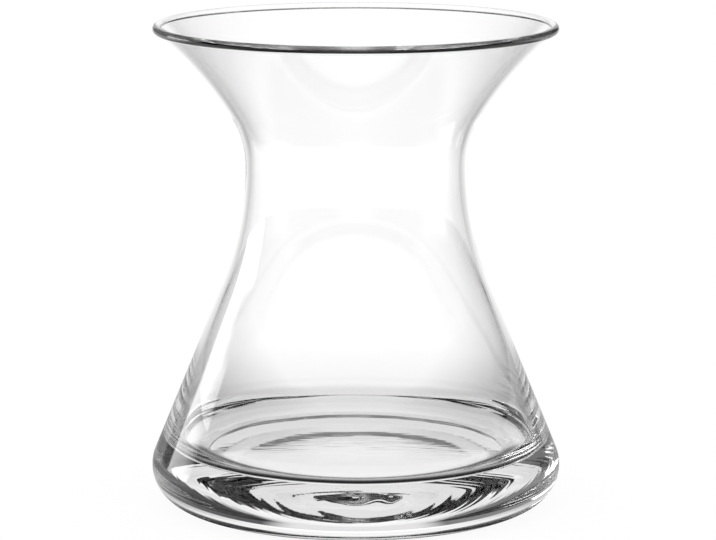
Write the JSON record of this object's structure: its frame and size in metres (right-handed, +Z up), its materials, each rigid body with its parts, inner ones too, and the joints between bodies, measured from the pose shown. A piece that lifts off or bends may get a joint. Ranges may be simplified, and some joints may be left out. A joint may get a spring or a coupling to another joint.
{
  "type": "hyacinth forcing vase",
  "caption": "Clear glass vase with a narrow waist, a flared mouth that holds a bulb above the water, and a wide, thick foot.",
  "frame": {"origin": "centre of the foot, on the surface that the vase stands on", "axes": "+Z is up, along the axis that the glass is turned about; X and Y are alike"},
  "size_m": [0.145, 0.145, 0.17],
  "materials": {
    "clear_glass": "smooth, polished, colourless"
  },
  "bodies": {
    "root": {"glass_vase": "clear_glass"}
  },
  "joints": []
}
